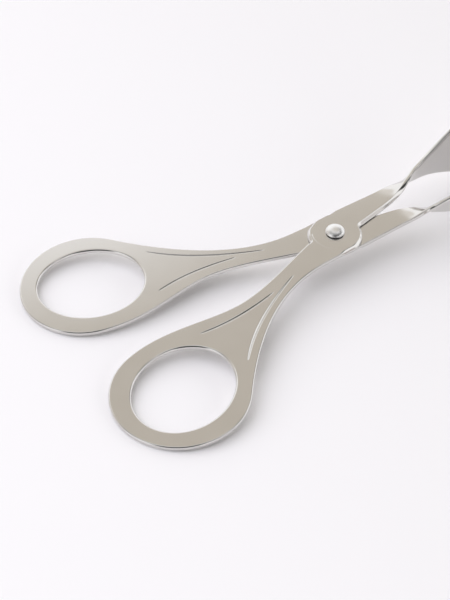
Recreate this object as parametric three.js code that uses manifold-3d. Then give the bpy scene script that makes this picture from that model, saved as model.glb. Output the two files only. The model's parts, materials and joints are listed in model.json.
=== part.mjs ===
// Pastry tongs: two arms stamped from one tool, the second turned over, on a domed rivet.
// Millimetres. The arms are drawn flat, X from the pivot to the jaws, Y across, Z square to the sheet,
// and opened as they lie at rest. The last lines set them down on the table, +Z up.
import * as THREE from 'three';
import { mergeVertices } from 'three/addons/utils/BufferGeometryUtils.js';
import Module from 'manifold-3d';

const wasm = await Module();
wasm.setup();

const degrees = Math.PI / 180;

// Sheet
const sheet = 1.8;
const edgeRound = 0.55;

// Pivot disc, bevelled to its rim on the outer face, with a low land on both faces that the arms rub on,
// and eased by two flats where the blade's outer edge runs into it
const discRadius = 10;
const landBevel = 1;
const mateRound = 0.2;
const landInset = 1.8;
const landSlope = 0.4;
const landRise = 0.1;
const faceGap = 0.2;
const flatInset = 0.6;
const flatFront = 92 * degrees;
const flatBack = 114 * degrees;

// Rivet
const rivetRadius = 2.2;
const boreClearance = 0.2;
const headGap = 0.2;
const headRadius = 3.5;
const headRim = 0.15;
const headDome = 1.8;
const tailRadius = 3.6;
const tailDome = 1.1;

// Finger ring: an oval hole that points at the pivot, in a rounder rim pushed a little outwards
const ringReach = 90;
const ringAngle = 19.4 * degrees;
const holeLong = 18.9;
const holeWide = 16;
const rimLong = 23.7;
const rimWide = 22.8;
const rimTurn = -9.5 * degrees;
const rimShift = 1.7;

// Handle edges: where they leave the rim, the waist of the inner edge, and how they run into the disc
const innerLeave = 116 * degrees;
const outerLeave = -29 * degrees;
const waistBack = 51;
const waistDrop = 9.5;
const innerRimPull = 16;
const waistPull = 12.5;
const shoulderAngle = 172 * degrees;
const shoulderSlope = 16.7 * degrees;
const shoulderPull = 13.5;
const outerRimPull = 22;
const outerBack = 13;
const outerStep = 0.4;
const outerSlope = 2 * degrees;
const outerPull = 22;
const outerJoin = -82 * degrees;

// Wishbone groove on both faces of the handle, even about the line from the ring to the pivot
const grooveWidth = 0.95;
const grooveDepth = 0.34;
const grooveStart = 22.2;
const grooveSpread = 9.9;
const grooveLead = 7;
const grooveBend = 6.2;
const grooveEnd = 63.2;
const stemLength = 23.2;
const stemSpread = 1.4;
const groovePoint = 0.08;
const grooveBlunt = 0.25;

// Blade from the disc to the neck, drawn about a straight line that passes beside the pivot
const neckReach = 39;
const neckHalf = 2.5;
const bladeHalf = 6.4;
const bladeTaper = 0.97;
const bladeOffset = 3;
const bladeHeading = 4.4 * degrees;

// Quarter twist that stands the jaw on edge, slow to start
const twistStart = 22;
const twistEnd = 46.7;
const twistEase = 2.2;
const twistTurn = -90 * degrees;

// Fan-shaped jaw, splayed at the neck and bowed back so that the tips meet first
const jawHalf = 20;
const jawFlare = 53;
const jawEnd = 11;
const jawSplay = 11 * degrees;
const jawBow = -27.2 * degrees;

// Facets
const curveSteps = 20;
const roundSteps = 2;
const discSides = 56;
const rivetSides = 36;
const domeSteps = 6;
const grooveSteps = 14;
const twistSteps = 14;
const flareSteps = 10;
const endSteps = 6;
const endSweep = 84 * degrees;

const armLift = faceGap / 2 + landRise + sheet / 2;
const landHalf = sheet / 2 + landRise;
const boreRadius = rivetRadius + boreClearance;

function solidFrom(geometry) {
  const bare = new THREE.BufferGeometry();
  bare.setAttribute('position', geometry.getAttribute('position'));
  bare.setIndex(geometry.getIndex());
  const merged = mergeVertices(bare, 1e-5);
  const vertProperties = new Float32Array(merged.getAttribute('position').array);
  const triVerts = new Uint32Array(merged.getIndex().array);
  return new wasm.Manifold(new wasm.Mesh({ numProp: 3, vertProperties, triVerts }));
}

function geometryFrom(solid) {
  const mesh = solid.getMesh();
  const geometry = new THREE.BufferGeometry();
  geometry.setAttribute('position', new THREE.BufferAttribute(new Float32Array(mesh.vertProperties), 3));
  geometry.setIndex(new THREE.BufferAttribute(new Uint32Array(mesh.triVerts), 1));
  geometry.computeVertexNormals();
  return geometry;
}

// Closed skin over a row of loops with equal point counts; loops run anticlockwise seen from the last one
function loft(loops) {
  const count = loops[0].length;
  const last = (loops.length - 1) * count;
  const index = [];
  for (let row = 0; row < loops.length - 1; row++) {
    for (let i = 0; i < count; i++) {
      const next = (i + 1) % count;
      const low = row * count;
      const high = low + count;
      index.push(low + i, low + next, high + next, low + i, high + next, high + i);
    }
  }
  for (let i = 1; i < count - 1; i++) {
    index.push(0, i + 1, i, last, last + i, last + i + 1);
  }
  const geometry = new THREE.BufferGeometry().setFromPoints(loops.flat());
  geometry.setIndex(index);
  return geometry;
}

function lathe(profile, sides) {
  const points = profile.map(([r, z]) => new THREE.Vector2(r, z));
  return new THREE.LatheGeometry(points, sides).rotateX(Math.PI / 2);
}

// Finger ring's own axes: from the hole's centre towards the pivot, and across to the inner side
const toPivot = new THREE.Vector2(Math.cos(ringAngle), Math.sin(ringAngle));
const toInside = new THREE.Vector2(-toPivot.y, toPivot.x);
const holeCentre = toPivot.clone().multiplyScalar(-ringReach);

function ringPoint(along, across) {
  return holeCentre.clone().addScaledVector(toPivot, along).addScaledVector(toInside, across);
}

function polar(radius, angle) {
  return new THREE.Vector2(radius * Math.cos(angle), radius * Math.sin(angle));
}

const rimCentre = ringPoint(-rimShift, 0);

// Finger ring and shank, as far as the middle of the disc
function handleSolid() {
  const rim = new THREE.EllipseCurve(
    rimCentre.x, rimCentre.y, rimLong, rimWide, innerLeave, outerLeave + 2 * Math.PI, false, rimTurn);
  const rimFirst = rim.getPoint(0);
  const rimLast = rim.getPoint(1);
  const innerPull = rimFirst.clone().addScaledVector(rim.getTangent(0), -innerRimPull);
  const outerRim = rimLast.clone().addScaledVector(rim.getTangent(1), outerRimPull);

  const waist = new THREE.Vector2(-waistBack, -waistDrop);
  const shoulder = polar(discRadius, shoulderAngle);
  const shoulderIn = shoulder.clone().add(polar(discRadius / 2, shoulderSlope));
  const shoulderOut = shoulder.clone().sub(polar(shoulderPull, shoulderSlope));
  const outer = new THREE.Vector2(-outerBack, -discRadius - outerStep);
  const outerOut = outer.clone().sub(polar(outerPull, outerSlope));
  const join = polar(discRadius, outerJoin);
  const joinIn = polar(discRadius / 2, outerJoin);

  const outline = new THREE.Shape();
  outline.moveTo(shoulderIn.x, shoulderIn.y);
  outline.lineTo(shoulder.x, shoulder.y);
  outline.bezierCurveTo(shoulderOut.x, shoulderOut.y, waist.x + waistPull, waist.y, waist.x, waist.y);
  outline.bezierCurveTo(waist.x - waistPull, waist.y, innerPull.x, innerPull.y, rimFirst.x, rimFirst.y);
  outline.curves.push(rim);
  outline.currentPoint.copy(rimLast);
  outline.bezierCurveTo(outerRim.x, outerRim.y, outerOut.x, outerOut.y, outer.x, outer.y);
  outline.lineTo(join.x, join.y);
  outline.lineTo(joinIn.x, joinIn.y);
  outline.closePath();

  const hole = new THREE.Path();
  hole.absellipse(holeCentre.x, holeCentre.y, holeLong, holeWide, 0, 2 * Math.PI, true, ringAngle);
  outline.holes.push(hole);

  const geometry = new THREE.ExtrudeGeometry(outline, {
    depth: sheet - 2 * edgeRound,
    curveSegments: curveSteps,
    bevelThickness: edgeRound,
    bevelSize: edgeRound,
    bevelOffset: -edgeRound,
    bevelSegments: roundSteps,
  });
  return solidFrom(geometry.translate(0, 0, edgeRound - sheet / 2));
}

function discSolid() {
  const rimHalf = sheet / 2 - edgeRound;
  const bevelStart = discRadius - landBevel;
  const landRadius = discRadius - landInset;
  const round = solidFrom(lathe([
    [0, -landHalf],
    [landRadius, -landHalf],
    [landRadius + landSlope, -sheet / 2],
    [discRadius - mateRound, -sheet / 2],
    [discRadius, mateRound - sheet / 2],
    [discRadius, rimHalf],
    [bevelStart, sheet / 2],
    [landRadius + landSlope, sheet / 2],
    [landRadius, landHalf],
    [0, landHalf],
  ], discSides));
  const flatReach = discRadius - flatInset;
  const trimmed = (solid, angle) => solid.trimByPlane([-Math.cos(angle), -Math.sin(angle), 0], -flatReach);
  return [flatFront, flatBack].reduce(trimmed, round);
}

function boreSolid() {
  const bore = new THREE.CylinderGeometry(boreRadius, boreRadius, 4 * landHalf, rivetSides);
  return solidFrom(bore.rotateX(Math.PI / 2));
}

// Middle line of blade and jaw: straight to the twist, an arc that splays it, then an arc of constant bow
const jawLength = jawFlare + jawEnd;
const bendLength = neckReach - twistStart;

function arcFrom({ point, heading }, length, turn) {
  return { point: point.clone().add(polar(length, heading + turn / 2)), heading: heading + turn };
}

function middleLine(reach) {
  const bend = THREE.MathUtils.clamp(reach - twistStart, 0, bendLength);
  const past = Math.max(reach - neckReach, 0);
  const foot = { point: polar(bladeOffset, bladeHeading + Math.PI / 2), heading: bladeHeading };
  const straight = arcFrom(foot, Math.min(reach, twistStart), 0);
  const splayed = arcFrom(straight, bend, jawSplay * bend / bendLength);
  return arcFrom(splayed, past, jawBow * past / jawLength);
}

// Half width: a taper to the neck, a smooth flare, then a half-oval end
function halfWidth(reach) {
  if (reach < neckReach) {
    const back = 1 - reach / neckReach;
    return neckHalf + (bladeHalf - neckHalf) * back ** bladeTaper;
  }
  const past = reach - neckReach;
  if (past < jawFlare) {
    return neckHalf + (jawHalf - neckHalf) * THREE.MathUtils.smoothstep(past, 0, jawFlare);
  }
  return jawHalf * Math.sqrt(1 - ((past - jawFlare) / jawEnd) ** 2);
}

// Rectangle with eased corners, the disc's bevel carried on along the inner edge, turned by the twist
function bladeLoop(reach) {
  const { point, heading } = middleLine(reach);
  const half = halfWidth(reach);
  const thick = sheet / 2;
  const twist = twistTurn * THREE.MathUtils.smoothstep(reach, twistStart, twistEnd) ** twistEase;
  const corners = [
    [half, thick - edgeRound], [half - edgeRound, thick],
    [landBevel - half, thick], [-half, thick - edgeRound],
    [-half, edgeRound - thick], [edgeRound - half, -thick],
    [half - edgeRound, -thick], [half, edgeRound - thick],
  ];
  return corners.map(([across, up]) => {
    const side = across * Math.cos(twist) - up * Math.sin(twist);
    const rise = across * Math.sin(twist) + up * Math.cos(twist);
    return new THREE.Vector3(point.x - side * Math.sin(heading), point.y + side * Math.cos(heading), rise);
  });
}

function bladeSolid() {
  const stations = [0, discRadius, (twistStart + discRadius) / 2];
  for (let i = 0; i <= twistSteps; i++) stations.push(twistStart + (twistEnd - twistStart) * i / twistSteps);
  const flareStop = neckReach + jawFlare;
  for (let i = 1; i <= flareSteps; i++) stations.push(twistEnd + (flareStop - twistEnd) * i / flareSteps);
  for (let i = 1; i <= endSteps; i++) stations.push(flareStop + jawEnd * Math.sin(endSweep * i / endSteps));
  return solidFrom(loft(stations.map(bladeLoop)));
}

// One leg of the wishbone as a tapered V-section cutter, side +1 or -1 of the ring's line, face +1 or -1
function grooveSolid(side, face) {
  const leg = new THREE.CubicBezierCurve(
    ringPoint(grooveStart, side * grooveSpread),
    ringPoint(grooveStart + grooveLead, side * grooveBend),
    ringPoint(grooveEnd - stemLength, side * stemSpread),
    ringPoint(grooveEnd, 0));
  const top = face * (sheet / 2);
  const loops = [];
  for (let i = 0; i <= grooveSteps; i++) {
    const t = i / grooveSteps;
    const point = leg.getPoint(t);
    const tangent = leg.getTangent(t);
    const open = Math.max(groovePoint, Math.sin(Math.PI * t) ** grooveBlunt);
    const half = grooveWidth / 2 * open;
    const deep = grooveDepth * open;
    const edge = (across, up) => new THREE.Vector3(
      point.x - tangent.y * across, point.y + tangent.x * across, top + face * up);
    const wide = half * (1 + grooveDepth / deep);
    loops.push([edge(0, -deep), edge(face * wide, grooveDepth), edge(-face * wide, grooveDepth)]);
  }
  return solidFrom(loft(loops));
}

function armSolid() {
  let solid = handleSolid().add(discSolid()).add(bladeSolid()).subtract(boreSolid());
  for (const face of [1, -1]) {
    for (const side of [1, -1]) solid = solid.subtract(grooveSolid(side, face));
  }
  return solid;
}

// Head and formed tail are low domes; the shank fills the bores but for the running clearance
function rivetGeometry() {
  const seat = faceGap / 2 + 2 * landHalf + headGap;
  const profile = [[0, -seat - tailDome]];
  for (let i = 1; i <= domeSteps; i++) {
    const angle = Math.PI / 2 * i / domeSteps;
    profile.push([tailRadius * Math.sin(angle), -seat - tailDome * Math.cos(angle)]);
  }
  profile.push([rivetRadius, -seat], [rivetRadius, seat], [headRadius, seat]);
  for (let i = 0; i < domeSteps; i++) {
    const angle = Math.PI / 2 * i / domeSteps;
    profile.push([headRadius * Math.cos(angle), seat + headRim + headDome * Math.sin(angle)]);
  }
  profile.push([0, seat + headRim + headDome]);
  return lathe(profile, rivetSides);
}

const armSteel = { color: 0xc0b8ab, roughness: 0.28, metalness: 1 };
const rivetSteel = { color: 0xd8d5d0, roughness: 0.12, metalness: 1 };

const armGeometry = geometryFrom(armSolid());

const over = new THREE.Mesh(armGeometry, new THREE.MeshStandardMaterial(armSteel));
over.name = 'arm_over';
over.position.z = armLift;

const under = new THREE.Mesh(armGeometry, new THREE.MeshStandardMaterial(armSteel));
under.name = 'arm_under';
under.position.z = -armLift;
under.rotation.x = Math.PI;

const rivet = new THREE.Mesh(rivetGeometry(), new THREE.MeshStandardMaterial(rivetSteel));
rivet.name = 'pivot_rivet';

// At rest the tongs stand on both finger rings and on the lower edge of the under jaw
const rimBack = new THREE.Vector2(rimCentre.x - rimLong + edgeRound, rimCentre.y);
const jawFoot = middleLine(neckReach + jawFlare).point;
const feet = [
  new THREE.Vector3(rimBack.x, -rimBack.y, -armLift - sheet / 2),
  new THREE.Vector3(rimBack.x, rimBack.y, armLift - sheet / 2),
  new THREE.Vector3(jawFoot.x, -jawFoot.y, -armLift - jawHalf),
];
const floor = new THREE.Plane().setFromCoplanarPoints(...feet);

const tongs = new THREE.Group();
tongs.add(over, under, rivet);
tongs.quaternion.setFromUnitVectors(floor.normal, new THREE.Vector3(0, 0, 1));
tongs.updateMatrixWorld(true);
const extent = new THREE.Box3().setFromObject(tongs, true);
const middle = extent.getCenter(new THREE.Vector3());
tongs.position.set(-middle.x, -middle.y, -extent.min.z);

export default tongs;
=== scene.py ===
import json
import bpy
import numpy as np
from mathutils import Matrix, Vector
from mathutils.geometry import delaunay_2d_cdt


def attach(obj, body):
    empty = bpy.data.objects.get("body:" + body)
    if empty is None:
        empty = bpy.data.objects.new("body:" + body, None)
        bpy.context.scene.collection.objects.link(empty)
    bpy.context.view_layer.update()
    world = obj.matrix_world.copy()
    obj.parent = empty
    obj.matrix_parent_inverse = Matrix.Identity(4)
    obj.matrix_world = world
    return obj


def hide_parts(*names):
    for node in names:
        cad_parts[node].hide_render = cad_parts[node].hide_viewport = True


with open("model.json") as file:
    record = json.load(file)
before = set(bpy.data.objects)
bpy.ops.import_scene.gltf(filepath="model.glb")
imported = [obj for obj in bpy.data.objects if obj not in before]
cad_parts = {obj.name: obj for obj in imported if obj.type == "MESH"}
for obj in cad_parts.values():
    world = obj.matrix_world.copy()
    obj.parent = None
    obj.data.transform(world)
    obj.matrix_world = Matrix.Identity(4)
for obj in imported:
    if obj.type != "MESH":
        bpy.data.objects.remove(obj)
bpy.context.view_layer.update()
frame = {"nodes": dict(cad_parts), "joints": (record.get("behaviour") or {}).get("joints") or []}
print("frame loaded:", ", ".join(sorted(frame["nodes"])))

# The hinge says where the tongs lie: its axis is square to the sheet, its point is between the two arms.
# Shapes below are in millimetres about that point: x runs from the pivot to the jaws, y to the far side
# and z square to the sheet.
hinge = frame["joints"][0]
pivotPoint = np.array(hinge["pos_m"])
sheetTilt = np.array(Vector((0, 0, 1)).rotation_difference(Vector(hinge["axis"])).to_matrix())
millimetre = 0.001


def placed(points):  # from millimetres about the pivot to the row frame in metres
    return points @ sheetTilt.T * millimetre + pivotPoint


def turned(directions):  # the same for directions
    return directions @ sheetTilt.T


def polar(radius, bearing):  # point at a distance and a bearing in degrees
    angle = np.radians(bearing)
    return np.stack([radius * np.cos(angle), radius * np.sin(angle)], -1)


def eased(value, low, high):  # 0 up to low, 1 from high, 3t^2 - 2t^3 between
    t = np.clip((value - low) / (high - low), 0, 1)
    return t * t * (3 - 2 * t)


def unit(vectors):
    return vectors / np.linalg.norm(vectors, axis=-1, keepdims=True)


def bezier(a, b, c, d, count=400):  # cubic curve from a to d, pulled towards b and c
    t = np.linspace(0, 1, count)[:, None]
    return (1 - t) ** 3 * a + 3 * (1 - t) ** 2 * t * b + 3 * (1 - t) * t ** 2 * c + t ** 3 * d


def ellipse(centre, longHalf, wideHalf, turn, first, last, count=900):  # arc of a turned ellipse
    angle = np.radians(np.linspace(first, last, count))
    axis, square = polar(1, turn), polar(1, turn + 90)
    return centre + longHalf * np.cos(angle)[:, None] * axis + wideHalf * np.sin(angle)[:, None] * square


# Sheet and pivot disc
sheet = {"thick": 1.8, "edgeRound": 0.55, "holeRound": 0.75, "jawRound": 0.85, "faceGap": 0.1}
disc = {"radius": 10, "bore": 2.4, "boreRound": 0.1, "flat": 9.4, "flatBearings": (92, 114),
        "landRise": 0.08, "landRadius": 8.2, "landSlope": 0.4, "landFade": 25, "handleSide": 205,
        "handleSpan": (0.2, 0.6), "bevel": 1.0, "bevelDrop": 1.25, "bevelBulge": 1.2, "bevelFade": (0.2, 1.8),
        "mateRound": 0.2, "slant": 0.9, "slantDrop": 1.7, "slantBulge": 1.15, "slantStart": 6,
        "slantMate": 0.06}
halfSheet = sheet["thick"] / 2
armLift = sheet["faceGap"] / 2 + disc["landRise"] + halfSheet

# Finger ring: an oval hole that points at the pivot, in a rounder rim pushed a little outwards
ring = {"reach": 90, "bearing": 19.4, "holeLong": 18.9, "holeWide": 16, "rimLong": 23.7, "rimWide": 22.8,
        "rimTurn": -9.5, "rimShift": 1.7, "innerLeave": 116, "outerLeave": 331}
toPivot, toInside = polar(1, ring["bearing"]), polar(1, ring["bearing"] + 90)


def ringPoint(along, across):  # measured from the hole's centre, towards the pivot and to the inner side
    return (along - ring["reach"]) * toPivot + across * toInside


# Handle edges between the rim and the disc
handle = {"waist": (-51, -9.5), "innerRimPull": 16, "waistPull": 12.5, "shoulder": 172, "shoulderSlope": 16.7,
          "shoulderPull": 13.5, "outerRimPull": 22, "outer": (-13, -10.4), "outerSlope": 2, "outerPull": 22,
          "outerJoin": -82}

# Blade and jaw, as cut flat: a taper about a straight line beside the pivot, a flare and a half-oval end
blade = {"heading": 4.4, "offset": 3, "rootHalf": 6.4, "taper": 0.97, "neck": 39, "neckHalf": 2.5,
         "flare": 53, "jawHalf": 20, "jawEnd": 11}
bladeLine, bladeSide = polar(1, blade["heading"]), polar(1, blade["heading"] + 90)
bladeFoot = blade["offset"] * bladeSide


def bladeHalf(reach):
    back = np.clip(1 - reach / blade["neck"], 0, 1)
    taper = (blade["rootHalf"] - blade["neckHalf"]) * back ** blade["taper"]
    opened = eased(reach, blade["neck"], blade["neck"] + blade["flare"])
    flare = (blade["jawHalf"] - blade["neckHalf"]) * opened
    return blade["neckHalf"] + taper + flare


def bladeEdge(reach, side):
    return bladeFoot + reach[:, None] * bladeLine + (side * bladeHalf(reach))[:, None] * bladeSide


def outsideDisc(points):  # the part of an edge after its last point on the disc
    return points[np.count_nonzero(np.linalg.norm(points, axis=1) < disc["radius"]):]


def bearingOf(point):
    return np.degrees(np.arctan2(point[1], point[0]))


# Closed loop resampled at even steps along its length, its corners eased by a short running mean
def evenLoop(points, step, ease=(1, 2, 3, 2, 1)):
    closed = np.vstack([points, points[:1]])
    run = np.concatenate([[0], np.cumsum(np.linalg.norm(np.diff(closed, axis=0), axis=1))])
    spots = np.linspace(0, run[-1], int(run[-1] / step), endpoint=False)
    loop = np.stack([np.interp(spots, run, closed[:, 0]), np.interp(spots, run, closed[:, 1])], -1)
    reach = len(ease) // 2
    return sum(weight * np.roll(loop, k - reach, axis=0) for k, weight in enumerate(ease)) / sum(ease)


# Outline of the flat blank, anticlockwise: disc, inner edge, rim, outer edge, disc, blade, jaw and back
def blankOutline(bladePoints=1600, discPoints=400):
    rimCentre = ringPoint(-ring["rimShift"], 0)
    rim = ellipse(rimCentre, ring["rimLong"], ring["rimWide"], ring["rimTurn"],
                  ring["innerLeave"], ring["outerLeave"])
    waist, outer = np.array(handle["waist"]), np.array(handle["outer"])
    shoulder = polar(disc["radius"], handle["shoulder"])
    waistPull = np.array([handle["waistPull"], 0])
    upper = bezier(shoulder, shoulder - polar(handle["shoulderPull"], handle["shoulderSlope"]),
                   waist + waistPull, waist)
    lower = bezier(waist, waist - waistPull, rim[0] - handle["innerRimPull"] * unit(rim[1] - rim[0]), rim[0])
    outerEdge = bezier(rim[-1], rim[-1] + handle["outerRimPull"] * unit(rim[-1] - rim[-2]),
                       outer - polar(handle["outerPull"], handle["outerSlope"]), outer)
    reach = np.linspace(0, blade["neck"] + blade["flare"], bladePoints)
    innerBlade, outerBlade = outsideDisc(bladeEdge(reach, -1)), outsideDisc(bladeEdge(reach, 1))
    jawEnd = ellipse(bladeFoot + reach[-1] * bladeLine, blade["jawEnd"], blade["jawHalf"],
                     blade["heading"], -90, 90)
    bearing = np.linspace(bearingOf(outerBlade[0]), handle["shoulder"], discPoints)
    flats = [disc["flat"] / np.cos(np.radians(bearing - middle)) for middle in disc["flatBearings"]]
    discLeft = polar(np.minimum(disc["radius"], np.abs(flats).min(0)), bearing)
    discRight = ellipse(0, disc["radius"], disc["radius"], 0, handle["outerJoin"], bearingOf(innerBlade[0]))
    parts = [discLeft, upper, lower, rim, outerEdge, discRight, innerBlade, jawEnd, outerBlade[::-1]]
    return np.vstack([part[:-1] for part in parts])


# Wishbone groove: two legs from beside the finger hole to one point, each a soft valley pointed at both ends
groove = {"width": 0.95, "depth": 0.3, "start": 22.2, "spread": 9.9, "lead": 7, "bend": 6.2, "end": 63.2,
          "stem": 23.2, "stemSpread": 1.4, "innerPoints": 332, "blunt": 0.25, "bottom": 0.25,
          "narrowest": 1e-3}


def grooveLeg(side):
    return bezier(ringPoint(groove["start"], side * groove["spread"]),
                  ringPoint(groove["start"] + groove["lead"], side * groove["bend"]),
                  ringPoint(groove["end"] - groove["stem"], side * groove["stemSpread"]),
                  ringPoint(groove["end"], 0))


# The inner leg stops short of the outer one
grooveLegs = [grooveLeg(1)[:groove["innerPoints"]], grooveLeg(-1)]


def legAt(leg, share):  # point and direction by the share of the way along, on past both ends
    place = np.clip(share, 0, 1) * (len(leg) - 1)
    along = unit(np.gradient(leg, axis=0))[np.round(place).astype(int)]
    past = (share - np.clip(share, 0, 1)) * np.linalg.norm(np.diff(leg, axis=0), axis=1).sum()
    point = np.stack([np.interp(place, np.arange(len(leg)), leg[:, axis]) for axis in (0, 1)], -1)
    return point + past[:, None] * along, along


def grooveOpen(share):  # how far the groove is open, by its share of the way along
    return np.clip(np.sin(np.pi * np.clip(share, 0, 1)), 0, 1) ** groove["blunt"]


# Depth below the face: at each point the nearest spot of a leg, then a V across it with a rounded bottom
def grooveDepth(points):
    deepest = np.zeros(len(points))
    for leg in grooveLegs:
        along = unit(np.gradient(leg, axis=0))
        stride = np.linalg.norm(np.gradient(leg, axis=0), axis=1)
        near = np.argmin(((points[:, None] - leg[None]) ** 2).sum(-1), axis=1)
        away = points - leg[near]
        share = (near + (away * along[near]).sum(-1) / stride[near]) / (len(leg) - 1)
        across = away[:, 1] * along[near][:, 0] - away[:, 0] * along[near][:, 1]
        half = np.maximum(groove["width"] / 2 * grooveOpen(share), groove["narrowest"])
        slant = np.hypot(np.clip(across / half, -1, 1), groove["bottom"])
        valley = (np.hypot(1, groove["bottom"]) - slant) / (np.hypot(1, groove["bottom"]) - groove["bottom"])
        deepest = np.maximum(deepest, groove["depth"] * grooveOpen(share) * valley)
    return deepest


# Height of a face over the sheet's middle: the sheet, plus the low land round the pivot, less the groove.
# The land ends in a short step on the handle's side and fades away along the blade.
def faceHeight(points):
    radius = np.linalg.norm(points, axis=-1)
    facing = points @ polar(1, disc["handleSide"]) / np.maximum(radius, 1e-6)
    fade = disc["landFade"] + (disc["landSlope"] - disc["landFade"]) * eased(facing, *disc["handleSpan"])
    land = disc["landRise"] * (1 - eased(radius, disc["landRadius"], disc["landRadius"] + fade))
    return halfSheet + land - grooveDepth(points)


def faceNormal(points, step=0.01):  # from the slope of faceHeight
    dx, dy = np.array([step, 0]), np.array([0, step])
    slopeX = (faceHeight(points + dx) - faceHeight(points - dx)) / (2 * step)
    slopeY = (faceHeight(points + dy) - faceHeight(points - dy)) / (2 * step)
    return unit(np.stack([-slopeX, -slopeY, np.ones(len(points))], -1))


# Rounded edge carried along a loop with the metal on its left: a quarter of an oval down from the upper face,
# a short wall, and such a quarter to the lower face. Rows run along the loop, columns over the edge.
# Inset and drop of the quarters are one value, or one row for the upper and one for the lower face.
# The bulge is the power of the oval: 2 for a true one, near 1 for a flat bevel.
def edgeBand(loop, inset, drop, bulge=2, steps=7):
    ahead = unit(np.roll(loop, -1, axis=0) - loop)
    inward = np.stack([-ahead[:, 1], ahead[:, 0]], -1)
    before = np.roll(inward, 1, axis=0)
    mitre = (inward + before) / (1 + (inward * before).sum(-1, keepdims=True))
    inset, drop = (np.repeat(np.broadcast_to(value, (2, len(loop))), steps, axis=0).T
                   for value in (inset, drop))
    top = faceHeight(loop + mitre * inset[:, :1])[:, None]
    quarter = np.linspace(np.pi / 2, 0, steps)
    angle = np.concatenate([quarter, -quarter[::-1]])
    side = np.repeat([1, -1], steps)
    bulge = np.broadcast_to(bulge, len(loop))[:, None]
    level, upright = np.abs(np.cos(angle)), np.abs(np.sin(angle))
    inside = inset * (1 - level ** (2 / bulge))
    rise = side * (top - drop * (1 - upright ** (2 / bulge)))
    points = np.dstack([loop[:, None] + mitre[:, None] * inside[:, :, None], rise])
    outward = -unit(mitre)[:, None] * (level ** (2 - 2 / bulge) / inset)[:, :, None]
    normals = unit(np.dstack([outward, side * upright ** (2 - 2 / bulge) / drop]))
    return points, normals


def bandFaces(rows, columns, first):  # quads of a closed band, facing out
    i, k = np.meshgrid(np.arange(rows), np.arange(columns - 1), indexing="ij")
    following = (i + 1) % rows
    corners = [i * columns + k, i * columns + k + 1, following * columns + k + 1, following * columns + k]
    return first + np.stack(corners, -1).reshape(-1, 4)


def insideLoop(points, loop):  # odd number of crossings to the right of the point
    a, b = loop, np.roll(loop, -1, axis=0)
    above = (a[None, :, 1] > points[:, None, 1]) != (b[None, :, 1] > points[:, None, 1])
    rise = np.where(b[:, 1] == a[:, 1], 1, b[:, 1] - a[:, 1])
    crossing = a[:, 0] + (points[:, None, 1] - a[:, 1]) * (b[:, 0] - a[:, 0]) / rise
    return (above & (points[:, None, 0] < crossing)).sum(1) % 2 == 1


def clearOf(points, loop, gap):
    return ((points[:, None] - loop[None]) ** 2).sum(-1).min(1) > gap * gap


# Points inside the faces: a lattice on the blade and jaw, rings on the land's slope and lines along the
# grooves, which run a little past their ends and have two more lines on each bank.
# Points in one cell of the merge grid become one, and none is nearer to a rim than rimGap.
filling = {"latticeStart": 12, "latticeStep": 0.8, "landRings": 5, "landStep": 2.5, "grooveSteps": 90,
           "grooveTails": (0.006, 0.012), "grooveLines": 9, "grooveNarrow": 0.3, "grooveBank": 0.13,
           "banks": (-2, -1, 1, 2), "merge": 0.07, "rimGap": 0.28}


def facePoints():
    step = filling["latticeStep"]
    reach = np.arange(filling["latticeStart"], blade["neck"] + blade["flare"] + blade["jawEnd"], step)
    across = np.arange(-blade["jawHalf"], blade["jawHalf"], step)
    lattice = bladeFoot + reach[:, None, None] * bladeLine + across[None, :, None] * bladeSide
    radii = disc["landRadius"] + disc["landSlope"] * np.linspace(0, 1, filling["landRings"])
    land = polar(radii[:, None], np.arange(0, 360, filling["landStep"])[None])
    lines = [land.reshape(-1, 2), lattice.reshape(-1, 2)]
    tails = np.array(filling["grooveTails"])
    share = np.concatenate([-tails[::-1], np.linspace(0, 1, filling["grooveSteps"]), 1 + tails])
    for leg in grooveLegs:
        spot, along = legAt(leg, share)
        half = groove["width"] / 2 * grooveOpen(share)
        across = np.linspace(-1, 1, filling["grooveLines"]) * half[:, None]
        across[half < filling["grooveNarrow"] * groove["width"] / 2] = 0
        banks = (half + filling["grooveBank"])[:, None] * np.array(filling["banks"])
        spread = np.hstack([across, banks])
        square = np.stack([-along[:, 1], along[:, 0]], -1)
        lines.append((spot[:, None] + spread[:, :, None] * square[:, None]).reshape(-1, 2))
    points = np.vstack(lines)
    kept = np.unique(np.round(points / filling["merge"]), axis=0, return_index=True)[1]
    return points[np.sort(kept)]


# The blank's blade is twisted a quarter turn about its middle line, splayed at the neck and bowed along
# the jaw.
# The jaw's rounder edge comes in from roundLead past the start of the twist.
form = {"twistStart": 22, "twistEnd": 46.7, "twistEase": 2.2, "twist": -90, "splay": 11, "bow": -27.2,
        "roundLead": 8}


def formed(points):
    flat = points[:, :2] - bladeFoot
    reach, across = flat @ bladeLine, flat @ bladeSide
    bendLength = blade["neck"] - form["twistStart"]
    jawLength = blade["flare"] + blade["jawEnd"]
    bend = np.clip(reach - form["twistStart"], 0, bendLength)
    past = np.maximum(reach - blade["neck"], 0)
    splay, bow = form["splay"] * bend / bendLength, form["bow"] * past / jawLength
    middle = bladeFoot + np.minimum(reach, form["twistStart"])[:, None] * bladeLine
    middle = middle + polar(bend, blade["heading"] + splay / 2)
    middle = middle + polar(past, blade["heading"] + splay + bow / 2)
    square = polar(1, blade["heading"] + splay + bow + 90)
    share = eased(reach, form["twistStart"], form["twistEnd"]) ** form["twistEase"]
    twist = np.radians(form["twist"]) * share
    side = across * np.cos(twist) - points[:, 2] * np.sin(twist)
    rise = across * np.sin(twist) + points[:, 2] * np.cos(twist)
    return np.column_stack([middle + side[:, None] * square, rise])


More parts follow.
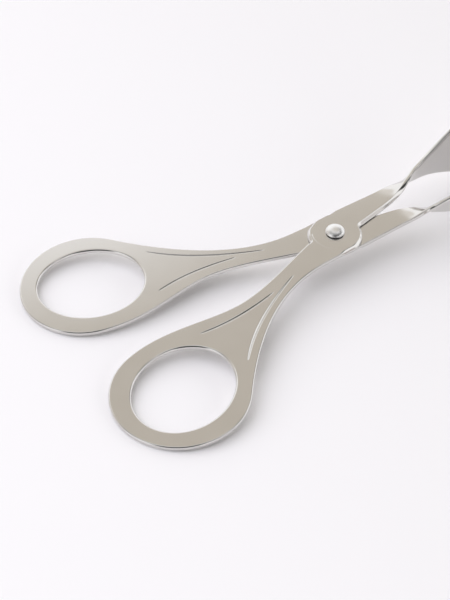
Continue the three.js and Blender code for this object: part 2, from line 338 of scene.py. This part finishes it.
def formedNormals(points, normals, step=1e-3, upright=0.7):  # cross product of two formed directions
    helper = np.where(np.abs(normals[:, 2:]) > upright, (1.0, 0, 0), (0, 0, 1.0))
    first = unit(np.cross(normals, helper))
    second = np.cross(normals, first)
    firstOut = formed(points + step * first) - formed(points - step * first)
    secondOut = formed(points + step * second) - formed(points - step * second)
    return unit(np.cross(firstOut, secondOut))


# One arm: bands over the outline, the finger hole and the bore, joined by two faces filled between them
def armSurface(outlineStep=0.5, holeStep=0.6, boreSides=64, nearness=1e-6):
    outline = evenLoop(blankOutline(), outlineStep)
    oval = ellipse(ringPoint(0, 0), ring["holeLong"], ring["holeWide"], ring["bearing"], 360, 0)
    hole = evenLoop(oval[:-1], holeStep)
    bore = polar(disc["bore"], -np.arange(boreSides) * 360 / boreSides)
    fadeStart, fadeEnd = (disc["radius"] + fade for fade in disc["bevelFade"])
    onDisc = 1 - eased(np.linalg.norm(outline, axis=1), fadeStart, fadeEnd)
    reach, across = (outline - bladeFoot) @ bladeLine, (outline - bladeFoot) @ bladeSide
    onJaw = eased(reach, form["twistStart"] + form["roundLead"], form["twistEnd"])
    onInner = (across < 0) * eased(reach, 0, disc["slantStart"]) * (1 - onJaw) * (1 - onDisc)
    plain = sheet["edgeRound"] + (sheet["jawRound"] - sheet["edgeRound"]) * onJaw

    def blended(usual, onTheDisc, onTheInner):  # by where along the outline a point is
        return usual + (onTheDisc - usual) * onDisc + (onTheInner - usual) * onInner

    mating = blended(plain, disc["mateRound"], disc["slantMate"])
    inset = np.array([blended(plain, disc["bevel"], disc["slant"]), mating])
    drop = np.array([blended(plain, disc["bevelDrop"], disc["slantDrop"]), mating])
    bands = [edgeBand(outline, inset, drop, blended(2, disc["bevelBulge"], disc["slantBulge"])),
             edgeBand(hole, sheet["holeRound"], sheet["holeRound"]),
             edgeBand(bore, disc["boreRound"], disc["boreRound"])]
    columns = bands[0][0].shape[1]
    starts = np.cumsum([0] + [band[0].shape[0] * columns for band in bands])
    loops = [band[0][:, 0, :2] for band in bands]

    inner = facePoints()
    inner = inner[insideLoop(inner, loops[0]) & clearOf(inner, loops[0], filling["rimGap"])]
    inner = inner[clearOf(inner, loops[1], filling["rimGap"])]
    plan = np.vstack(loops + [inner])
    counts = np.cumsum([0] + [len(loop) for loop in loops])
    rims = [first + np.stack([np.arange(n), (np.arange(n) + 1) % n], -1)
            for first, n in zip(counts, [len(loop) for loop in loops])]
    spots, borders = [Vector(spot) for spot in plan.tolist()], np.vstack(rims).tolist()
    flat, _, triangles, _, _, _ = delaunay_2d_cdt(spots, borders, [], 0, nearness)
    if len(flat) != len(plan):
        raise ValueError("the face's loops or points run into each other")
    triangles = np.array(triangles)
    middles = plan[triangles].mean(1)
    metal = insideLoop(middles, loops[0]) & ~insideLoop(middles, loops[1]) & ~insideLoop(middles, loops[2])
    triangles = triangles[metal]
    edges = plan[triangles[:, 1:]] - plan[triangles[:, :1]]
    clockwise = edges[:, 0, 0] * edges[:, 1, 1] < edges[:, 0, 1] * edges[:, 1, 0]
    triangles[clockwise] = triangles[clockwise][:, ::-1]

    height, normal = faceHeight(inner), faceNormal(inner)
    over = np.column_stack([inner, height])
    points = np.vstack([band[0].reshape(-1, 3) for band in bands] + [over, over * (1, 1, -1)])
    normals = np.vstack([band[1].reshape(-1, 3) for band in bands] + [normal, normal * (1, 1, -1)])
    firstColumn = [start + np.arange(len(loop)) * columns for start, loop in zip(starts, loops)]
    upper = np.concatenate(firstColumn + [starts[-1] + np.arange(len(inner))])
    lower = np.concatenate([column + columns - 1 for column in firstColumn]
                           + [starts[-1] + len(inner) + np.arange(len(inner))])
    faces = np.vstack([bandFaces(len(loop), columns, start) for start, loop in zip(starts, loops)]).tolist()
    faces += upper[triangles].tolist() + lower[triangles[:, ::-1]].tolist()
    return formed(points), formedNormals(points, normals), points[:, :2], faces


# Mesh at its place in the row frame, with its own normals or else sharp edges, and a flat map where given
def addPiece(name, points, normals, faces, material, flatMap=None, mapUnit=10, sharpAngle=40):
    mesh = bpy.data.meshes.new(name)
    mesh.from_pydata(placed(points).tolist(), [], faces)
    mesh.polygons.foreach_set("use_smooth", np.ones(len(mesh.polygons), bool))
    if flatMap is not None:
        corner = np.empty(len(mesh.loops), np.int32)
        mesh.loops.foreach_get("vertex_index", corner)
        layer = mesh.uv_layers.new(name="blank")
        layer.data.foreach_set("uv", (flatMap[corner] / mapUnit).astype(np.float32).ravel())
    if normals is None:
        mesh.set_sharp_from_angle(angle=np.radians(sharpAngle))
    else:
        mesh.normals_split_custom_set_from_vertices(turned(normals).tolist())
    mesh.validate()
    mesh.materials.append(material)
    piece = bpy.data.objects.new(name, mesh)
    bpy.context.scene.collection.objects.link(piece)
    return piece


# Surface effect shared by the steels: fine lines of the polishing wheel along x, and soft clouds of handling
polish = {"stretch": (0.03, 1, 1), "lineDetail": 3, "cloudDetail": 2, "sumRange": (0.5, 1.5)}


def polishGroup():
    group = bpy.data.node_groups.new("polishMarks", "ShaderNodeTree")
    for name, kind in (("Map", "NodeSocketVector"), ("Line Scale", "NodeSocketFloat"),
                       ("Cloud Scale", "NodeSocketFloat")):
        group.interface.new_socket(name=name, in_out="INPUT", socket_type=kind)
    for name in ("Lines", "Clouds"):
        group.interface.new_socket(name=name, in_out="OUTPUT", socket_type="NodeSocketFloat")
    nodes, links = group.nodes, group.links
    entry, leave = nodes.new("NodeGroupInput"), nodes.new("NodeGroupOutput")
    stretch = nodes.new("ShaderNodeMapping")
    stretch.inputs["Scale"].default_value = polish["stretch"]
    lines, clouds = nodes.new("ShaderNodeTexNoise"), nodes.new("ShaderNodeTexNoise")
    lines.inputs["Detail"].default_value = polish["lineDetail"]
    clouds.inputs["Detail"].default_value = polish["cloudDetail"]
    links.new(entry.outputs["Map"], stretch.inputs["Vector"])
    links.new(stretch.outputs["Vector"], lines.inputs["Vector"])
    links.new(entry.outputs["Line Scale"], lines.inputs["Scale"])
    links.new(entry.outputs["Map"], clouds.inputs["Vector"])
    links.new(entry.outputs["Cloud Scale"], clouds.inputs["Scale"])
    links.new(lines.outputs["Fac"], leave.inputs["Lines"])
    links.new(clouds.outputs["Fac"], leave.inputs["Clouds"])
    return group


polishMarks = polishGroup()


def steel(name, look):
    material = bpy.data.materials.new(name)
    material.use_nodes = True
    nodes, links = material.node_tree.nodes, material.node_tree.links
    shader = nodes["Principled BSDF"]
    shader.inputs["Metallic"].default_value = 1
    marks = nodes.new("ShaderNodeGroup")
    marks.node_tree = polishMarks
    marks.inputs["Line Scale"].default_value = look["lineScale"]
    marks.inputs["Cloud Scale"].default_value = look["cloudScale"]
    coordinates = nodes.new("ShaderNodeTexCoord")
    links.new(coordinates.outputs[look["map"]], marks.inputs["Map"])
    tint = nodes.new("ShaderNodeMix")
    tint.data_type = "RGBA"
    tint.inputs["A"].default_value = (*look["darker"], 1)
    tint.inputs["B"].default_value = (*look["lighter"], 1)
    links.new(marks.outputs["Clouds"], tint.inputs["Factor"])
    links.new(tint.outputs["Result"], shader.inputs["Base Color"])
    blend = nodes.new("ShaderNodeMath")
    blend.operation = "ADD"
    links.new(marks.outputs["Lines"], blend.inputs[0])
    links.new(marks.outputs["Clouds"], blend.inputs[1])
    gloss = nodes.new("ShaderNodeMapRange")
    gloss.inputs["From Min"].default_value, gloss.inputs["From Max"].default_value = polish["sumRange"]
    gloss.inputs["To Min"].default_value, gloss.inputs["To Max"].default_value = look["roughness"]
    links.new(blend.outputs["Value"], gloss.inputs["Value"])
    links.new(gloss.outputs["Result"], shader.inputs["Roughness"])
    bump = nodes.new("ShaderNodeBump")
    bump.inputs["Strength"].default_value = look["bump"]
    bump.inputs["Distance"].default_value = look["bumpHeight"]
    links.new(marks.outputs["Lines"], bump.inputs["Height"])
    links.new(bump.outputs["Normal"], shader.inputs["Normal"])
    return material


# The arms' marks follow the flat map in centimetres, the rivet's follow metres
armSteel = steel("armSteel", {
    "map": "UV", "lineScale": 60, "cloudScale": 0.6, "darker": (0.68, 0.665, 0.645),
    "lighter": (0.73, 0.714, 0.695), "roughness": (0.11, 0.16), "bump": 0.04, "bumpHeight": 0.00002})
rivetSteel = steel("rivetSteel", {
    "map": "Object", "lineScale": 900, "cloudScale": 400, "darker": (0.80, 0.795, 0.785),
    "lighter": (0.86, 0.855, 0.845), "roughness": (0.33, 0.39), "bump": 0.02, "bumpHeight": 0.00001})

armPoints, armNormals, armMap, armFaces = armSurface()
liftUp = np.array([0, 0, armLift])
turnOver = np.array([1, -1, -1])  # the second arm is the same stamping turned over about x
armOver = addPiece("armOver", armPoints + liftUp, armNormals, armFaces, armSteel, armMap)
armUnder = addPiece("armUnder", (armPoints + liftUp) * turnOver, armNormals * turnOver, armFaces, armSteel,
                    armMap)
print("arms:", len(armPoints), "points and", len(armFaces), "faces each")

# Rivet: a profile turned about the pivot, from the middle of the formed tail to the top of the domed head
rivet = {"shank": 2.2, "headGap": 0.3, "headRadius": 3.5, "headRim": 0.15, "headDome": 1.8,
         "tailRadius": 3.6, "tailDome": 1.1, "sides": 96}


def rivetProfile(steps=22, rimSteps=6):
    seat = sheet["faceGap"] / 2 + 2 * (halfSheet + disc["landRise"]) + rivet["headGap"]
    angle = np.linspace(0, np.pi / 2, steps)
    tail = np.stack([rivet["tailRadius"] * np.sin(angle), -seat - rivet["tailDome"] * np.cos(angle)], -1)
    shank = np.array([[rivet["shank"], -seat], [rivet["shank"], seat],
                      [rivet["headRadius"] - rivet["headRim"], seat]])
    rimAngle = np.linspace(-np.pi / 2, 0, rimSteps)
    rim = np.stack([rivet["headRadius"] - rivet["headRim"] * (1 - np.cos(rimAngle)),
                    seat + rivet["headRim"] * (1 + np.sin(rimAngle))], -1)
    dome = np.stack([rivet["headRadius"] * np.cos(angle),
                     seat + rivet["headRim"] + rivet["headDome"] * np.sin(angle)], -1)
    return np.vstack([tail, shank, rim[1:], dome[1:]])


def lathe(profile, sides):  # rings of points about z; the first and last profile points are single poles
    bearing = np.arange(sides) * 360 / sides
    rings = profile[1:-1]
    height = np.broadcast_to(rings[:, None, 1:], (len(rings), sides, 1))
    skin = np.dstack([rings[:, None, 0, None] * polar(1, bearing), height])
    points = np.vstack([skin.reshape(-1, 3), [[0, 0, profile[0, 1]], [0, 0, profile[-1, 1]]]])
    row, i = np.meshgrid(np.arange(len(rings) - 1), np.arange(sides), indexing="ij")
    after = (i + 1) % sides
    quads = np.stack([row * sides + i, row * sides + after,
                      (row + 1) * sides + after, (row + 1) * sides + i], -1)
    i, after = np.arange(sides), (np.arange(sides) + 1) % sides
    last = (len(rings) - 1) * sides
    pole = len(points) - 2
    low = np.stack([np.full(sides, pole), after, i], -1)
    high = np.stack([np.full(sides, pole + 1), last + i, last + after], -1)
    return points, quads.reshape(-1, 4).tolist() + low.tolist() + high.tolist()


rivetPoints, rivetFaces = lathe(rivetProfile(), rivet["sides"])
pivotRivet = addPiece("pivotRivet", rivetPoints, None, rivetFaces, rivetSteel)
print("rivet:", len(rivetFaces), "faces")

for piece, node, body, slot in ((armOver, "arm_over", "over_arm", "arm_steel"),
                                (armUnder, "arm_under", "under_arm", "arm_steel"),
                                (pivotRivet, "pivot_rivet", "under_arm", "rivet_steel")):
    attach(piece, body)
    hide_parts(node)

# Camera as fitted to the photograph: bearings in the sheet's frame, distances in millimetres from the pivot
view = {"azimuth": -34.26, "elevation": 47.20, "roll": -0.03, "sideways": -39.83, "upward": -23.18,
        "distance": 507.41, "focalPixels": 1397.75, "imageHeight": 600, "clipStart": 0.01}


def addCamera():
    azimuth, elevation, roll = np.radians([view["azimuth"], view["elevation"], view["roll"]])
    right = np.array([np.cos(azimuth), np.sin(azimuth), 0])
    back = np.array([np.sin(azimuth) * np.cos(elevation), -np.cos(azimuth) * np.cos(elevation),
                     np.sin(elevation)])
    up = np.cross(back, right)
    axes = np.array([np.cos(roll) * right + np.sin(roll) * up,
                     np.cos(roll) * up - np.sin(roll) * right, back])
    place = placed(np.array([view["sideways"], view["upward"], view["distance"]]) @ axes)
    data = bpy.data.cameras.new("camera")
    data.lens = data.sensor_width * view["focalPixels"] / view["imageHeight"]
    data.clip_start = view["clipStart"]
    camera = bpy.data.objects.new("camera", data)
    camera.matrix_world = Matrix.Translation(place) @ Matrix(turned(axes).T.tolist()).to_4x4()
    bpy.context.scene.collection.objects.link(camera)
    bpy.context.scene.camera = camera


addCamera()

# Pale floor of paper, with a little glow to the camera and in the steel
floor = {"size": 4, "colour": (0.90, 0.886, 0.882), "roughness": 0.9, "glow": 0.05}


def addFloor():
    half = floor["size"] / 2
    mesh = bpy.data.meshes.new("floor")
    corners = [(-half, -half, 0), (half, -half, 0), (half, half, 0), (-half, half, 0)]
    mesh.from_pydata(corners, [], [(0, 1, 2, 3)])
    material = bpy.data.materials.new("floorPaper")
    material.use_nodes = True
    shader = material.node_tree.nodes["Principled BSDF"]
    shader.inputs["Base Color"].default_value = (*floor["colour"], 1)
    shader.inputs["Roughness"].default_value = floor["roughness"]
    shader.inputs["Specular IOR Level"].default_value = 0
    shader.inputs["Emission Color"].default_value = (*floor["colour"], 1)
    nodes, links = material.node_tree.nodes, material.node_tree.links
    path = nodes.new("ShaderNodeLightPath")
    seen, glow = nodes.new("ShaderNodeMath"), nodes.new("ShaderNodeMath")
    seen.operation, glow.operation = "MAXIMUM", "MULTIPLY"
    links.new(path.outputs["Is Camera Ray"], seen.inputs[0])
    links.new(path.outputs["Is Glossy Ray"], seen.inputs[1])
    links.new(seen.outputs["Value"], glow.inputs[0])
    glow.inputs[1].default_value = floor["glow"]
    links.new(glow.outputs["Value"], shader.inputs["Emission Strength"])
    mesh.materials.append(material)
    piece = bpy.data.objects.new("floor", mesh)
    bpy.context.scene.collection.objects.link(piece)


addFloor()

# Studio round the table, which the steel mirrors: white walls, and on them caps of the sky, painted in turn.
# Each cap has a pole, as bearing and elevation, and the angles from it where it is whole and where it ends.
whiteWall = (1.2, 1.2, 1.21)
studio = {"walls": whiteWall, "caps": [
    {"colour": (0.72, 0.68, 0.63), "pole": (135, 14), "cap": (20, 34)},  # warm wall on the far left
    {"colour": (0.76, 0.72, 0.665), "pole": (131, 55), "cap": (11, 18)},  # warm panel above it
    {"colour": (0.40, 0.40, 0.402), "pole": (190, 57), "cap": (26, 45)},  # dim corner on the left
    {"colour": whiteWall, "pole": (190, 27), "cap": (13, 22)},  # white below it, for the rings' lower edges
    {"colour": whiteWall, "pole": (112, 78), "cap": (11, 15)},  # white overhead, for the land's step
    {"colour": (0.65, 0.602, 0.535), "pole": (50, 62), "cap": (20, 24)},  # warm grey panel in the faces
    {"colour": whiteWall, "pole": (70, 30), "cap": (17, 22.5)},  # white below it, for the far ring's sheen
    {"colour": (0.92, 0.88, 0.83), "pole": (54, 40), "cap": (3, 9)},  # pale spot between the two
    {"colour": (0.15, 0.15, 0.15), "pole": (18, 46), "cap": (7, 13)},  # four dark openings on the right,
    {"colour": (0.12, 0.12, 0.12), "pole": (-13, 53), "cap": (8, 11)},  # for the lines in grooves and edges
    {"colour": (0.52, 0.47, 0.45), "pole": (-62, 0), "cap": (12, 22)},  # with warm grey low between them
    {"colour": (0.04, 0.04, 0.04), "pole": (-38, 47), "cap": (13, 17)},
    {"colour": (0.05, 0.05, 0.05), "pole": (-85, 49), "cap": (16, 23)},
    {"colour": (0.06, 0.06, 0.06), "pole": (-127, 25), "cap": (23, 36)}]}  # dark side where the camera stands


def skyDirection(bearing, elevation):
    level = polar(np.cos(np.radians(elevation)), bearing)
    return (*level, np.sin(np.radians(elevation)))


def skyCap(nodes, links, direction, pole, cap):  # 1 within the cap's first angle, 0 beyond its second
    facing = nodes.new("ShaderNodeVectorMath")
    facing.operation = "DOT_PRODUCT"
    facing.inputs[1].default_value = skyDirection(*pole)
    links.new(direction, facing.inputs[0])
    mask = nodes.new("ShaderNodeMapRange")
    mask.interpolation_type = "SMOOTHSTEP"
    mask.inputs["From Min"].default_value = np.cos(np.radians(cap[1]))
    mask.inputs["From Max"].default_value = np.cos(np.radians(cap[0]))
    links.new(facing.outputs["Value"], mask.inputs["Value"])
    return mask.outputs["Result"]


def studioWorld():
    world = bpy.data.worlds.new("studio")
    bpy.context.scene.world = world
    world.use_nodes = True
    nodes, links = world.node_tree.nodes, world.node_tree.links
    background = nodes["Background"]
    direction = nodes.new("ShaderNodeTexCoord").outputs["Generated"]
    room = nodes.new("ShaderNodeRGB").outputs["Color"]
    room.default_value = (*studio["walls"], 1)
    for part in studio["caps"]:
        mix = nodes.new("ShaderNodeMix")
        mix.data_type = "RGBA"
        mix.inputs["B"].default_value = (*part["colour"], 1)
        links.new(room, mix.inputs["A"])
        links.new(skyCap(nodes, links, direction, part["pole"], part["cap"]), mix.inputs["Factor"])
        room = mix.outputs["Result"]
    path = nodes.new("ShaderNodeLightPath")
    seen = nodes.new("ShaderNodeMix")
    seen.data_type = "RGBA"
    seen.inputs["B"].default_value = (1, 1, 1, 1)  # the camera itself sees plain white beyond the floor
    links.new(path.outputs["Is Camera Ray"], seen.inputs["Factor"])
    links.new(room, seen.inputs["A"])
    links.new(seen.outputs["Result"], background.inputs["Color"])
    background.inputs["Strength"].default_value = 1


studioWorld()

# One soft lamp from behind on the left, for the shadow
lamp = {"bearing": 155, "elevation": 48, "distance": 1.2, "size": 1.7, "power": 10.9,
        "colour": (0.89, 0.89, 1.0)}


def addLamp():
    data = bpy.data.lights.new("softLamp", "AREA")
    data.shape = "DISK"
    data.size = lamp["size"]
    data.energy = lamp["power"]
    data.color = lamp["colour"]
    place = Vector(skyDirection(lamp["bearing"], lamp["elevation"])) * lamp["distance"]
    light = bpy.data.objects.new("softLamp", data)
    light.location = place
    light.visible_glossy = False  # the steel mirrors the room, not a white disc
    light.rotation_euler = place.to_track_quat("Z", "Y").to_euler()
    bpy.context.scene.collection.objects.link(light)


addLamp()
bpy.context.scene.view_settings.view_transform = "Standard"
print("stage: floor, studio and lamp")
